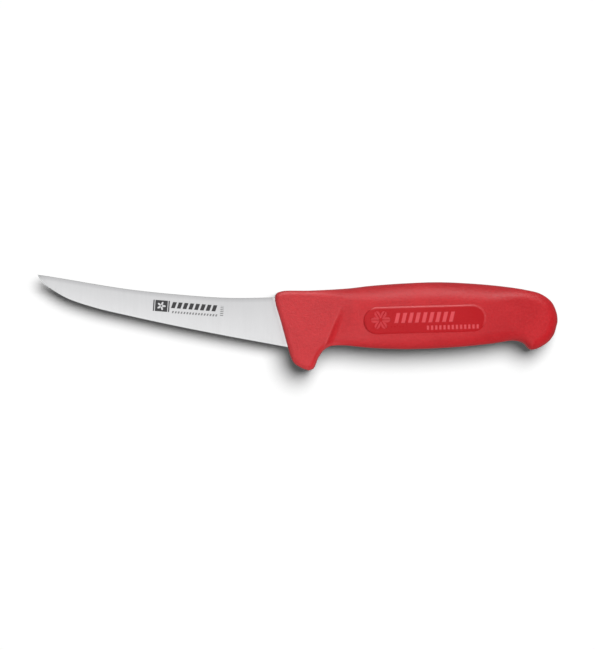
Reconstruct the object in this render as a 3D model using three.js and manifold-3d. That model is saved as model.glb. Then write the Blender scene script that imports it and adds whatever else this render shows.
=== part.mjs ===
// Boning knife with a narrow, upswept blade and a moulded red handle.
//
// The knife lies on its side. Along x the tip points to -x and the butt to +x, y rises towards the
// spine, and z runs through the thickness. Sizes are in millimetres. While it is drawn, x = 0 is
// the foremost point of the handle, y = 0 the axis of the grip and z = 0 the plane of the blade.
// The last lines move it so that the origin is on the surface it lies on, under its middle.

import * as THREE from "three";
import { mergeVertices } from "three/addons/utils/BufferGeometryUtils.js";
import Module from "manifold-3d";

const wasm = await Module();
wasm.setup();

// ---------------------------------------------------------------------------------------------
// Driving dimensions
// ---------------------------------------------------------------------------------------------

// Blade: the part that shows, from the front of the handle to the tip.
const bladeReach = 118.6;
const tipRise = 20.9;
const bladeThickness = 2.0; // spine at the handle, and the tang
const tipThickness = 1.1; // spine just behind the tip
const bevelWidth = 1.2;
const bevelThickness = 0.5; // blade thickness where the cutting bevel starts
const fullHeight = 5; // where the blade is narrower than this, near the tip, it thins to a point
const mostBevel = 1 / 3; // the bevel takes at most this share of the blade's height

// Tang: the narrow end of the same steel, held in the handle.
const rootDepth = 16; // how far the blade keeps its full width inside the guard
const tangLength = 106; // from the front of the handle
const tangHalfWidth = 7.5; // at the blade
const tangEndHalfWidth = 5;
const tangHoleDiameter = 7;
const tangHoleCount = 3;
const tangHolePitch = 27;
const firstTangHole = 36; // from the front of the handle

// Handle: one moulding round the tang.
const handleLength = 141.2;
const backHeight = 17.1; // highest point of the back above the axis
const bellyDepth = 16.3; // lowest point of the belly below the axis
const neckDepth = 14.4; // where the first finger lies behind the guard
const guardTop = 12.9;
const backStep = 1.1; // how much higher than the guard the back is where the grip begins
const guardDepth = 26.9; // tip of the horn that keeps the hand off the edge
const hornX = 17; // tip of the horn, from the front of the handle
const frontLean = THREE.MathUtils.degToRad(15.2); // the front face leans over the blade
const frontTop = 9.3; // height at which the straight front face reaches x = 0
const frontFoot = -15; // height at which it bends into the horn
const beakDepth = 16.5; // the hook at the butt
const buttLength = 18; // from the end of the grip to the hindmost point
const buttY = -3; // height of the hindmost point
const guardThickness = 19;
const panelRise = 0.4; // the raised panels stand this far out of the grip, level with the guard
const gripThickness = guardThickness - 2 * panelRise;
const ridgeFoot = new THREE.Vector2(24.1, -17.2); // the ridge is the straight rear edge of the
const ridgeLean = THREE.MathUtils.degToRad(22.4); // guard's flat side: it starts at the root of
const ridgeTop = 6.5; // the horn, leans towards the butt and dies out at this height
const hollowDepth = 1.9; // how deep each side is scooped for the finger behind the ridge
const hollowWall = 3.6; // width of the slope from the guard's flat side down into the scoop
const hollowReach = 24; // length over which the scoop runs out towards the butt
const guardEdge = 2.5; // rounding along the edges of the guard
const backEdge = 10; // rounding along the back of the grip
const bellyEdge = 4.5; // and along its belly
const buttEdge = 5; // rounding at the butt
const mostEdge = 0.45; // an edge takes at most this share of the way across the handle
const partingFlat = 0.6; // least flat left along the parting line
const backEdgeGrows = [15, 55]; // where the edge widens from guard to grip, along the back
const bellyEdgeGrows = [24, 45]; // and along the belly
const buttEdgeShrinks = [36, 14]; // and where it narrows again, from the butt

// Raised panel on each side of the grip.
const panelLength = 61.6;
const panelWidth = 14.2;
const panelX = 75;
const panelY = -1.4;
const panelTilt = 1.5; // degrees

const clearance = 0.3; // between the tang and the plastic round it

// How finely curved surfaces are divided.
const edgeSteps = 4; // steps round an edge, from the parting plane to the flat side
const sideSteps = 4; // steps across a flat side
const bladeSteps = 4; // steps between two stations of the blade
const arcSteps = 8;

// ---------------------------------------------------------------------------------------------
// Helpers
// ---------------------------------------------------------------------------------------------

// A smooth plane curve through points given as [x, y].
function smoothCurve(points) {
  const path = points.map(([x, y]) => new THREE.Vector3(x, y, 0));
  return new THREE.CatmullRomCurve3(path, false, "centripetal");
}

// A closed skin over rings of points that all have the same number of points. Each end is closed
// by a fan, and triangles that shrink to a line, as they do where a ring is one point, are left out.
function skinOver(rings) {
  const size = rings[0].length;
  const corners = [];
  const same = (a, b) => a.distanceTo(b) < 1e-4;
  const face = (a, b, c) => {
    if (same(a, b) || same(b, c) || same(c, a)) return;
    corners.push(...a.toArray(), ...b.toArray(), ...c.toArray());
  };
  for (let i = 0; i + 1 < rings.length; i++) {
    for (let j = 0; j < size; j++) {
      const k = (j + 1) % size;
      face(rings[i][j], rings[i + 1][j], rings[i + 1][k]);
      face(rings[i][j], rings[i + 1][k], rings[i][k]);
    }
  }
  const first = rings[0];
  const last = rings[rings.length - 1];
  for (let j = 1; j + 1 < size; j++) {
    face(first[0], first[j], first[j + 1]);
    face(last[0], last[j + 1], last[j]);
  }
  const geometry = new THREE.BufferGeometry();
  geometry.setAttribute("position", new THREE.Float32BufferAttribute(corners, 3));
  return geometry;
}

// A geometry as a solid that can be joined and cut.
function solidOf(geometry) {
  const bare = geometry.clone();
  bare.deleteAttribute("normal");
  bare.deleteAttribute("uv");
  const merged = mergeVertices(bare, 1e-4);
  const mesh = new wasm.Mesh({
    numProp: 3,
    vertProperties: merged.attributes.position.array,
    triVerts: new Uint32Array(merged.index.array),
  });
  return new wasm.Manifold(mesh);
}

// A solid as a named mesh with its own material.
function meshOf(solid, name, material) {
  const { vertProperties, triVerts } = solid.getMesh();
  const geometry = new THREE.BufferGeometry();
  geometry.setAttribute("position", new THREE.BufferAttribute(vertProperties, 3));
  geometry.setIndex(new THREE.BufferAttribute(triVerts, 1));
  geometry.computeVertexNormals();
  const mesh = new THREE.Mesh(geometry, new THREE.MeshStandardMaterial(material));
  mesh.name = name;
  return mesh;
}

// A flat plate of a shape, lying half above and half below z = 0.
function plate(shape, thickness) {
  const geometry = new THREE.ExtrudeGeometry(shape, {
    depth: thickness,
    bevelEnabled: false,
    curveSegments: arcSteps,
  });
  return geometry.translate(0, 0, -thickness / 2);
}

const mix = THREE.MathUtils.lerp;
const ease = THREE.MathUtils.smoothstep;

// ---------------------------------------------------------------------------------------------
// Blade and tang
// ---------------------------------------------------------------------------------------------

// Stations along the blade: share of the reach, height of the spine, height of the edge.
const bladeStations = [
  [-rootDepth / bladeReach, 9.8, -17],
  [0, 9.5, -14.05],
  [0.2, 9.3, -9.7],
  [0.4, 10.9, -5.05],
  [0.6, 13.35, 0.05],
  [0.75, 16.05, 4.25],
  [0.87, 18.5, 8.95],
  [0.94, 19.85, 13.7],
  [0.98, 20.6, 17.3],
  [1, tipRise, tipRise],
];
const spineLine = smoothCurve(bladeStations.map(([share, spine]) => [-share * bladeReach, spine]));
const edgeLine = smoothCurve(bladeStations.map(([share, , edge]) => [-share * bladeReach, edge]));

// The ground blade: flat from the spine to the shoulder of the bevel, then down to the edge. With
// a margin it is that much larger all round, as the space that the handle keeps for it.
function bladeSkin(margin) {
  const count = (bladeStations.length - 1) * bladeSteps;
  const rings = [];
  for (let i = 0; i <= count; i++) {
    const spine = spineLine.getPoint(i / count);
    const edge = edgeLine.getPoint(i / count);
    if (i === 0) [spine, edge].forEach((point) => (point.x += margin));
    const height = spine.distanceTo(edge);
    const down = edge.clone().sub(spine).normalize();
    const taper = THREE.MathUtils.clamp(-spine.x / bladeReach, 0, 1);
    const fullness = Math.min(1, height / fullHeight);
    const atSpine = (fullness * mix(bladeThickness, tipThickness, taper)) / 2 + margin;
    const atBevel = (fullness * bevelThickness) / 2 + margin;
    const bevelAt = height - Math.min(bevelWidth, mostBevel * height);
    const at = (distance, z) => spine.clone().addScaledVector(down, distance).setZ(z);
    rings.push([
      at(-margin, atSpine),
      at(bevelAt, atBevel),
      at(height + margin, margin),
      at(height + margin, -margin),
      at(bevelAt, -atBevel),
      at(-margin, -atSpine),
    ]);
  }
  return skinOver(rings);
}

// The tang: a tapering strip with a round end and holes that the plastic flows through. With a
// margin the strip is larger and the holes are smaller.
function tangPlate(margin) {
  const start = rootDepth / 2 - margin;
  const half = tangHalfWidth + margin;
  const endHalf = tangEndHalfWidth + margin;
  const endX = tangLength - tangEndHalfWidth;
  const strip = new THREE.Shape();
  strip.moveTo(start, -half);
  strip.lineTo(endX, -endHalf);
  strip.absarc(endX, 0, endHalf, -Math.PI / 2, Math.PI / 2, false);
  strip.lineTo(start, half);
  strip.closePath();
  for (let i = 0; i < tangHoleCount; i++) {
    const hole = new THREE.Path();
    const x = firstTangHole + i * tangHolePitch;
    hole.absarc(x, 0, tangHoleDiameter / 2 - margin, 0, 2 * Math.PI, true);
    strip.holes.push(hole);
  }
  return plate(strip, bladeThickness + 2 * margin);
}

function bladeSolid(margin) {
  return solidOf(bladeSkin(margin)).add(solidOf(tangPlate(margin)));
}

// ---------------------------------------------------------------------------------------------
// Handle
// ---------------------------------------------------------------------------------------------

// How far a point lies behind the ridge.
function behindRidge(x, y) {
  return (x - ridgeFoot.x) * Math.cos(ridgeLean) - (y - ridgeFoot.y) * Math.sin(ridgeLean);
}

// Points of the outline. The horn's are given by how far down they lie, from its root to its tip,
// the grip's by how far along they lie, and the butt's by how far from its end. The grip and the
// butt take their heights as a share of the back's, the belly's or the beak's.
const ridgeX = (y) => ridgeFoot.x + (y - ridgeFoot.y) * Math.tan(ridgeLean);
const backAtRidge = [ridgeX(guardTop + backStep), guardTop + backStep];
const gripEnd = handleLength - buttLength;
const front = (y) => [(frontTop - y) * Math.tan(frontLean), y];
const hornFront = (x, down) => [x, mix(frontFoot, -guardDepth, down)];
const hornRear = (x, down) => [x, mix(ridgeFoot.y, -guardDepth, down)];
const gripX = (along) => mix(backAtRidge[0], gripEnd, along);
const back = (along, share) => [gripX(along), share * backHeight];
const belly = (along, share) => [gripX(along), -share * bellyDepth];
const butt = (inset, share) => [handleLength - inset, share * backHeight];
const beak = (inset, share) => [handleLength - inset, -share * beakDepth];

// Outline stations from the tip of the horn to the middle of the butt. Each pairs a point of the
// outer line (front of the guard, back, butt) with one of the inner line (rear of the horn, neck,
// belly, beak), and says how many steps the skin takes to the next.
const outlineStations = [
  { outer: [hornX, -guardDepth], inner: [hornX, -guardDepth], steps: 2 },
  { outer: hornFront(13.6, 0.9), inner: hornRear(19.4, 0.91), steps: 2 },
  { outer: hornFront(9.7, 0.68), inner: hornRear(20.5, 0.72), steps: 2 },
  { outer: hornFront(8, 0.4), inner: hornRear(21.5, 0.44), steps: 2 },
  { outer: front(frontFoot), inner: hornRear(22.6, 0.23), steps: 3 },
  { outer: front(-3), inner: hornRear(23.2, 0.13), steps: 3 },
  { outer: front(8.2), inner: hornRear(23.6, 0.07), steps: 2 },
  { outer: [0.8, guardTop - 1.7], inner: hornRear(23.8, 0.045), steps: 2 },
  { outer: [3.4, guardTop - 0.4], inner: hornRear(23.9, 0.03), steps: 3 },
  { outer: [18, guardTop], inner: hornRear(24, 0.015), steps: 3 },
  { outer: backAtRidge, inner: [ridgeFoot.x, ridgeFoot.y], steps: 4 },
  { outer: back(0.11, 0.885), inner: [27.6, -neckDepth - 0.5], steps: 3 },
  { outer: back(0.2, 0.925), inner: [34, -neckDepth], steps: 3 },
  { outer: back(0.34, 0.97), inner: belly(0.13, 0.963), steps: 3 },
  { outer: back(0.52, 1), inner: belly(0.34, 1), steps: 3 },
  { outer: back(0.71, 0.96), inner: belly(0.62, 0.94), steps: 3 },
  { outer: back(0.88, 0.885), inner: belly(0.83, 0.83), steps: 3 },
  { outer: butt(16.2, 0.78), inner: beak(21.7, 0.73), steps: 3 },
  { outer: butt(8.2, 0.655), inner: beak(17, 0.8), steps: 3 },
  { outer: butt(2.9, 0.42), inner: beak(13.1, 1), steps: 3 },
  { outer: butt(0.5, 0.12), inner: beak(6.4, 0.85), steps: 2 },
  { outer: butt(0, -0.05), inner: beak(2.1, 0.575), steps: 2 },
  { outer: [handleLength, buttY], inner: [handleLength, buttY], steps: 0 },
];

// The pairs of outline points that the skin is built on.
function rungs() {
  const outer = smoothCurve(outlineStations.map((station) => station.outer));
  const inner = smoothCurve(outlineStations.map((station) => station.inner));
  const list = [];
  outlineStations.forEach(({ steps }, station) => {
    for (let i = 0; i < steps; i++) {
      const at = (station + i / steps) / (outlineStations.length - 1);
      list.push([outer.getPoint(at), inner.getPoint(at)]);
    }
  });
  list.push([outer.getPoint(1), inner.getPoint(1)]);
  return list;
}

// Half the thickness of the handle at its flat side: the guard is flat, a scoop follows behind the
// ridge, deepest at the belly, and the grip is flat again.
function sideHeight(x, y) {
  const behind = behindRidge(x, y);
  const guard = guardThickness / 2;
  if (behind <= 0) return guard;
  const wall = Math.min(1, behind / hollowWall);
  const scoop = (1 - (1 - wall) ** 2) * (1 - ease(behind, hollowWall, hollowWall + hollowReach));
  const depth = hollowDepth * ease(ridgeTop - y, 0, ridgeTop + neckDepth);
  return mix(guard, gripThickness / 2, ease(behind, 0, hollowReach)) - depth * scoop;
}

// How far down a point is, from the top of the guard (0) to the neck (1).
function towardsBelly(y) {
  return (guardTop - y) / (guardTop + neckDepth);
}

// The edges widen from the guard's rounding to the grip's, which is tighter along the belly.
function edgeRadius(x, y) {
  const low = towardsBelly(y);
  const [from, to] = [0, 1].map((i) => mix(backEdgeGrows[i], bellyEdgeGrows[i], low));
  const full = mix(backEdge, bellyEdge, THREE.MathUtils.clamp(low, 0, 1));
  const grip = mix(guardEdge, full, ease(x, from, to));
  const [start, end] = buttEdgeShrinks.map((inset) => handleLength - inset);
  return mix(grip, buttEdge, ease(x, start, end));
}

// Half the height of the wall that the edge rounding starts from.
function wallHeight(x, y) {
  return Math.max(partingFlat / 2, guardThickness / 2 - edgeRadius(x, y));
}

// Distance from a point to a closed line of points.
function distanceTo(line, x, y) {
  let nearest = Infinity;
  for (let i = 0; i < line.length; i++) {
    const a = line[i];
    const b = line[(i + 1) % line.length];
    const run = (b.x - a.x) ** 2 + (b.y - a.y) ** 2;
    const along = run ? ((x - a.x) * (b.x - a.x) + (y - a.y) * (b.y - a.y)) / run : 0;
    const t = THREE.MathUtils.clamp(along, 0, 1);
    nearest = Math.min(nearest, Math.hypot(a.x + t * (b.x - a.x) - x, a.y + t * (b.y - a.y) - y));
  }
  return nearest;
}

// The outside of the handle. Each ring runs across the lower side, from the outer line to the
// inner one, and back across the upper side.
function handleSkin() {
  const pairs = rungs();
  const outline = [...pairs.map(([outer]) => outer), ...pairs.map(([, inner]) => inner).reverse()];
  const rise = (x, y) => {
    const side = sideHeight(x, y);
    const wall = wallHeight(x, y);
    const inward = Math.min(1, distanceTo(outline, x, y) / edgeRadius(x, y));
    return wall + (side - wall) * Math.sqrt(1 - (1 - inward) ** 2);
  };
  const rings = pairs.map(([outer, inner]) => {
    const length = outer.distanceTo(inner);
    const outerEdge = Math.min(mostEdge * length, edgeRadius(outer.x, outer.y));
    const innerEdge = Math.min(mostEdge * length, edgeRadius(inner.x, inner.y));
    const places = [];
    for (let i = 0; i <= edgeSteps; i++) {
      places.push(outerEdge * (1 - Math.cos((i / edgeSteps) * (Math.PI / 2))));
    }
    for (let i = 1; i < sideSteps; i++) {
      places.push(mix(outerEdge, length - innerEdge, i / sideSteps));
    }
    for (let i = edgeSteps; i >= 0; i--) {
      places.push(length - innerEdge * (1 - Math.cos((i / edgeSteps) * (Math.PI / 2))));
    }
    const upper = places.map((place) => {
      const point = outer.clone().lerp(inner, length ? place / length : 0);
      return point.setZ(rise(point.x, point.y));
    });
    const lower = upper.map((point) => point.clone().setZ(-point.z));
    return [...lower, ...upper.reverse()];
  });
  return skinOver(rings);
}

// The raised panels: a plate with round ends that stands level with the flat sides of the guard.
function panelPlate() {
  const round = panelWidth / 2;
  const straight = panelLength / 2 - round;
  const shape = new THREE.Shape();
  shape.absarc(straight, 0, round, -Math.PI / 2, Math.PI / 2, false);
  shape.absarc(-straight, 0, round, Math.PI / 2, (3 * Math.PI) / 2, false);
  shape.closePath();
  const geometry = plate(shape, guardThickness);
  geometry.rotateZ(THREE.MathUtils.degToRad(panelTilt));
  return geometry.translate(panelX, panelY, 0);
}

function handleSolid() {
  return solidOf(handleSkin()).add(solidOf(panelPlate())).subtract(bladeSolid(clearance));
}

// ---------------------------------------------------------------------------------------------
// The knife
// ---------------------------------------------------------------------------------------------

const knife = new THREE.Group();
knife.add(meshOf(bladeSolid(0), "blade", { color: 0xd9dadc, roughness: 0.35, metalness: 1 }));
knife.add(meshOf(handleSolid(), "handle", { color: 0xc83f46, roughness: 0.5, metalness: 0 }));

const bounds = new THREE.Box3().setFromObject(knife);
const middle = bounds.getCenter(new THREE.Vector3());
knife.position.set(-middle.x, -middle.y, -bounds.min.z);

export default knife;
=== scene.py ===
"""Boning knife: a ground steel blade in a moulded red handle, lying on a pale table."""

import math

import bmesh
import bpy
import numpy as np
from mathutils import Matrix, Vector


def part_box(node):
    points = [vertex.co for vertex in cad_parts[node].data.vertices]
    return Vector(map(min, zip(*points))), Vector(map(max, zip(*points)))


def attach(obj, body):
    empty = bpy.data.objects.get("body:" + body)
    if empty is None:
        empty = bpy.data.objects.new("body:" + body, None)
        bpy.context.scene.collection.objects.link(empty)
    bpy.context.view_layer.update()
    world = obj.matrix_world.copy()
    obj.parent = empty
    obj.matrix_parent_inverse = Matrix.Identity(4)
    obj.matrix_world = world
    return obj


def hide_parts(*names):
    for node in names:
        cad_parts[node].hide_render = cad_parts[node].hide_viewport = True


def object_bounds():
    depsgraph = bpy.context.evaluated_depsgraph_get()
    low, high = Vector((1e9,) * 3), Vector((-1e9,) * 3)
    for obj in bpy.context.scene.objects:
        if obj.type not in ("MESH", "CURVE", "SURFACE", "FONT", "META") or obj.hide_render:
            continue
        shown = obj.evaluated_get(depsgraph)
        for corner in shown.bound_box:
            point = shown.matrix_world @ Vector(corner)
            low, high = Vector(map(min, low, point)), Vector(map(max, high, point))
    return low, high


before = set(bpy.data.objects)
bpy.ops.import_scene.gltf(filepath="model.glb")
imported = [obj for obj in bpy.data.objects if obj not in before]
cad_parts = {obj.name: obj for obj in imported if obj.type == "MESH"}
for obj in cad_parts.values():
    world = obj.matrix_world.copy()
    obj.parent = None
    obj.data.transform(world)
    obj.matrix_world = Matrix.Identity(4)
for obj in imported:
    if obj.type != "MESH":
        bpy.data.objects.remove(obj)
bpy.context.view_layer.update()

# ----------------------------------------------------------------------------------------------
# Blade. One strip of stainless steel, stamped to shape and ground flat on both sides from the
# spine to a fine cutting bevel, then finished across with a belt. It runs on into the handle,
# which is moulded round it; only the root of that hidden part is drawn.
# ----------------------------------------------------------------------------------------------

# The knife is drawn in millimetres: x from the front of the handle towards the butt, y up from
# the axis of the grip towards the spine, z from the plane of the blade. The handle's box places it.
MM = 0.001
HANDLE_LENGTH = 141.2
GUARD_DEPTH = 26.9
handle_low, handle_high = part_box("handle")
ORIGIN = np.array([
    handle_high.x - HANDLE_LENGTH * MM,
    handle_low.y + GUARD_DEPTH * MM,
    (handle_low.z + handle_high.z) / 2,
])

BLADE_REACH = 118.6
TIP_RISE = 20.9
ROOT_DEPTH = 16.0
SPINE_THICKNESS = 2.0
TIP_THICKNESS = 1.1
BEVEL_WIDTH = 1.2
BEVEL_THICKNESS = 0.5
FULL_HEIGHT = 5.0  # where the blade is lower than this, it thins towards the tip
SPINE_EASE = 0.14  # rounding of the spine's two corners
GRIND_CROWN = 0.02  # how far the belt leaves the ground side convex
KEEN = 0.02  # thickness left at the very edge
CORNER_ROWS = 5
GROUND_SHARES = np.concatenate([np.linspace(0, 0.97, 16)[1:], [0.994, 1.0]])  # closer by the bevel
BEVEL_SHARES = np.array([0.04, 0.35, 0.7, 1.0])
BLADE_RINGS = 330
SHARP_ANGLE = math.radians(35)
FRONT_LEAN = math.radians(15.2)  # the handle's front; on the blade a painted highlight runs along it
FRONT_TOP = 9.3

# Share of the reach, height of the spine, height of the edge.
BLADE_STATIONS = np.array([
    (-ROOT_DEPTH / BLADE_REACH, 9.8, -17.0),
    (0.0, 9.5, -14.05),
    (0.2, 9.3, -9.7),
    (0.4, 10.9, -5.05),
    (0.6, 13.35, 0.05),
    (0.75, 16.05, 4.25),
    (0.87, 18.5, 8.95),
    (0.94, 19.85, 13.7),
    (0.98, 20.6, 17.3),
    (1.0, TIP_RISE, TIP_RISE),
])


def mix(a, b, share):
    """a at share 0, b at share 1, in a straight line between."""
    return a + (b - a) * share


def ease(value, start, end):
    """0 up to start, 1 from end on, and an S curve (3t^2 - 2t^3) between."""
    t = np.clip((value - start) / (end - start), 0, 1)
    return t * t * (3 - 2 * t)


def smooth_line(points, at):
    """A smooth line through points, read at places from 0 to 1 that count the points evenly.

    Between two points it is a cubic. Its slope at each comes from the points on both sides,
    weighted by the square roots of their distances: a centripetal Catmull-Rom spline.
    """
    points = np.asarray(points, float)
    points = np.vstack([2 * points[0] - points[1], points, 2 * points[-1] - points[-2]])
    place = np.clip(at, 0, 1) * (len(points) - 3)
    first = np.minimum(place.astype(int), len(points) - 4)
    t = (place - first)[:, None]
    p0, p1, p2, p3 = (points[first + k] for k in range(4))
    d0, d1, d2 = (
        np.sqrt(np.linalg.norm(b - a, axis=1))[:, None] for a, b in ((p0, p1), (p1, p2), (p2, p3))
    )
    slope1 = ((p1 - p0) / d0 - (p2 - p0) / (d0 + d1) + (p2 - p1) / d1) * d1
    slope2 = ((p2 - p1) / d1 - (p3 - p1) / (d1 + d2) + (p3 - p2) / d2) * d1
    return (
        (2 * t**3 - 3 * t**2 + 1) * p1
        + (t**3 - 2 * t**2 + t) * slope1
        + (3 * t**2 - 2 * t**3) * p2
        + (t**3 - t**2) * slope2
    )


def skin(name, rings, caps, attributes):
    """A piece whose mesh joins rings of points, an array (ring, point, xyz) in drawing
    millimetres, each ring to the next and closed round. Points that fall together become one,
    and an end named in caps (0 or -1) is closed by one face. attributes holds arrays (ring,
    point, 3) that the mesh carries at its points, by name."""
    count, size = rings.shape[:2]
    ring = np.arange(count - 1)[:, None] * size
    point = np.arange(size)
    after = (point + 1) % size
    quads = np.stack([ring + point, ring + size + point, ring + size + after, ring + after], -1)
    faces = quads.reshape(-1, 4).tolist()
    if 0 in caps:
        faces.append(point.tolist())
    if -1 in caps:
        faces.append((point + (count - 1) * size).tolist()[::-1])
    mesh = bpy.data.meshes.new(name)
    mesh.from_pydata((rings.reshape(-1, 3) * MM + ORIGIN).tolist(), [], faces)
    for label, values in attributes.items():
        layer = mesh.attributes.new(label, "FLOAT_VECTOR", "POINT")
        layer.data.foreach_set("vector", values.astype(np.float32).ravel())
    shape = bmesh.new()
    shape.from_mesh(mesh)
    bmesh.ops.remove_doubles(shape, verts=shape.verts, dist=1e-7)
    bmesh.ops.dissolve_degenerate(shape, edges=shape.edges, dist=1e-8)
    bmesh.ops.recalc_face_normals(shape, faces=shape.faces)
    shape.to_mesh(mesh)
    shape.free()
    mesh.shade_smooth()
    piece = bpy.data.objects.new(name, mesh)
    bpy.context.scene.collection.objects.link(piece)
    return piece


def blade_rings(count):
    """Rings round the blade from its root in the handle to the tip.

    Each ring starts at the spine, runs down one ground side to the bevel and the edge, and back
    up the other side. Half the thickness falls in a straight line, with a slight crown, from the
    spine to the bevel, and then to the edge; near the tip all of it shrinks with the height.
    """
    at = np.linspace(0, 1, count)
    reach = -BLADE_STATIONS[:, 0] * BLADE_REACH
    spine = smooth_line(np.column_stack([reach, BLADE_STATIONS[:, 1]]), at)
    edge = smooth_line(np.column_stack([reach, BLADE_STATIONS[:, 2]]), at)
    height = np.linalg.norm(edge - spine, axis=1)[:, None]
    down = (edge - spine) / np.maximum(height, 1e-9)
    taper = np.clip(-spine[:, :1] / BLADE_REACH, 0, 1)
    full = np.minimum(1, height / FULL_HEIGHT)
    half_spine = full * mix(SPINE_THICKNESS, TIP_THICKNESS, taper) / 2
    half_bevel = full * BEVEL_THICKNESS / 2
    bevel_at = height - np.minimum(BEVEL_WIDTH, height / 3)
    corner = SPINE_EASE * full

    turn = np.linspace(0, math.pi / 2, CORNER_ROWS)
    round_down = corner * (1 - np.cos(turn))
    round_half = half_spine - corner + corner * np.sin(turn)
    crown = GRIND_CROWN * full * np.sin(math.pi * GROUND_SHARES)
    side_down = mix(corner, bevel_at, GROUND_SHARES)
    side_half = mix(half_spine, half_bevel, GROUND_SHARES) + crown
    bevel_down = mix(bevel_at, height, BEVEL_SHARES)
    bevel_half = mix(half_bevel, KEEN / 2 * full, BEVEL_SHARES)
    down_at = np.hstack([round_down, side_down, bevel_down])
    half_at = np.hstack([round_half, side_half, bevel_half])

    points = spine[:, None, :] + down[:, None, :] * down_at[..., None]
    upper = np.dstack([points, half_at])
    lower = upper[:, ::-1] * np.array([1, 1, -1])
    rings = np.concatenate([upper, lower], axis=1)
    run = np.concatenate([[0], np.cumsum(np.linalg.norm(np.diff(spine, axis=0), axis=1))])
    place = np.dstack([
        np.broadcast_to(run[:, None], down_at.shape),
        down_at,
        height - down_at,
    ])
    return rings, np.concatenate([place, place[:, ::-1]], axis=1)


rings, place = blade_rings(BLADE_RINGS)
blade = skin("ground_blade", rings, caps=(0,), attributes={"blade_mm": place})
blade.data.set_sharp_from_angle(angle=SHARP_ANGLE)


def add(tree, kind, inputs=None, **settings):
    """Adds a shader node and returns its outputs. A value of inputs is a number, a colour or
    another node's output, and its key is the socket's name or number."""
    made = tree.nodes.new("ShaderNode" + kind)
    for key, value in settings.items():
        setattr(made, key, value)
    for key, value in (inputs or {}).items():
        if isinstance(value, bpy.types.NodeSocket):
            tree.links.new(value, made.inputs[key])
        else:
            made.inputs[key].default_value = value
    return made.outputs


def calc(tree, operation, *values):
    """One step of arithmetic on numbers or outputs."""
    return add(tree, "Math", dict(enumerate(values)), operation=operation)[0]


def spread(tree, value, low, high, to_low, to_high):
    """value taken from the range low..high to the range to_low..to_high, held at its ends."""
    limits = {"Value": value, "From Min": low, "From Max": high, "To Min": to_low, "To Max": to_high}
    return add(tree, "MapRange", limits)["Result"]


def blend(tree, share, a, b):
    """Colour a at share 0 and b at share 1."""
    return add(tree, "Mix", {"Factor": share, "A": a, "B": b}, data_type="RGBA")["Result"]


def colour(red, green, blue):
    """A colour given as it looks on a screen, 0 to 255, as the shader's linear values."""
    screen = np.array([red, green, blue]) / 255
    linear = np.where(screen <= 0.04045, screen / 12.92, ((screen + 0.055) / 1.055) ** 2.4)
    return (*linear.tolist(), 1.0)


def group(name, inputs, outputs):
    """A shader node group with named number sockets; an input called Vector takes a place."""
    tree = bpy.data.node_groups.new(name, "ShaderNodeTree")
    for label in inputs:
        kind = "NodeSocketVector" if label == "Vector" else "NodeSocketFloat"
        tree.interface.new_socket(label, in_out="INPUT", socket_type=kind)
    for label in outputs:
        tree.interface.new_socket(label, in_out="OUTPUT", socket_type="NodeSocketFloat")
    return tree, tree.nodes.new("NodeGroupInput").outputs, tree.nodes.new("NodeGroupOutput").inputs


HAIRLINE_LAYERS = ((0.5, 60.0), (-0.9, 85.0))  # turn in radians, waves to the metre along them
HAIRLINE_STRETCH = 22  # how many times longer than wide a wave is
HAIRLINE_WIDTH = 0.008  # as a share of the noise's range


def scuff_group():
    """Handling marks, for steel and plastic alike: hairlines where a stretched noise crosses its
    middle value, kept only where a broad noise is high, and smudges from a slow noise."""
    tree, given, put = group("handling_marks", ["Vector", "Hairlines"], ["Hairline", "Smudge"])
    hair = 0
    for turn, size in HAIRLINE_LAYERS:
        turned = add(tree, "Mapping", {
            "Vector": given["Vector"],
            "Rotation": (0, 0, turn),
            "Scale": (size, size * HAIRLINE_STRETCH, size),
        })[0]
        wave = add(tree, "TexNoise", {"Vector": turned, "Scale": 1.0, "Detail": 1.0})[0]
        off = calc(tree, "ABSOLUTE", calc(tree, "SUBTRACT", wave, 0.5))
        line = spread(tree, off, 0.0, HAIRLINE_WIDTH, 1.0, 0.0)
        hair = calc(tree, "MAXIMUM", hair, line)
    patch = add(tree, "TexNoise", {"Vector": given["Vector"], "Scale": 38.0, "Detail": 2.0})[0]
    kept = spread(tree, patch, 0.52, 0.66, 0.0, 1.0)
    shown = calc(tree, "MULTIPLY", calc(tree, "MULTIPLY", hair, kept), given["Hairlines"])
    tree.links.new(shown, put["Hairline"])
    slow = add(tree, "TexNoise", {
        "Vector": given["Vector"], "Scale": 22.0, "Detail": 3.0, "Roughness": 0.55, "Distortion": 0.4,
    })[0]
    tree.links.new(spread(tree, slow, 0.35, 0.65, 0.0, 1.0), put["Smudge"])
    return tree


handling_marks = scuff_group()


def within(tree, value, middle, half, soft):
    """1 where value lies within half of middle, 0 outside, with a soft border."""
    off = calc(tree, "ABSOLUTE", calc(tree, "SUBTRACT", value, middle))
    return spread(tree, off, half - soft, half + soft, 1.0, 0.0)


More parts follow.
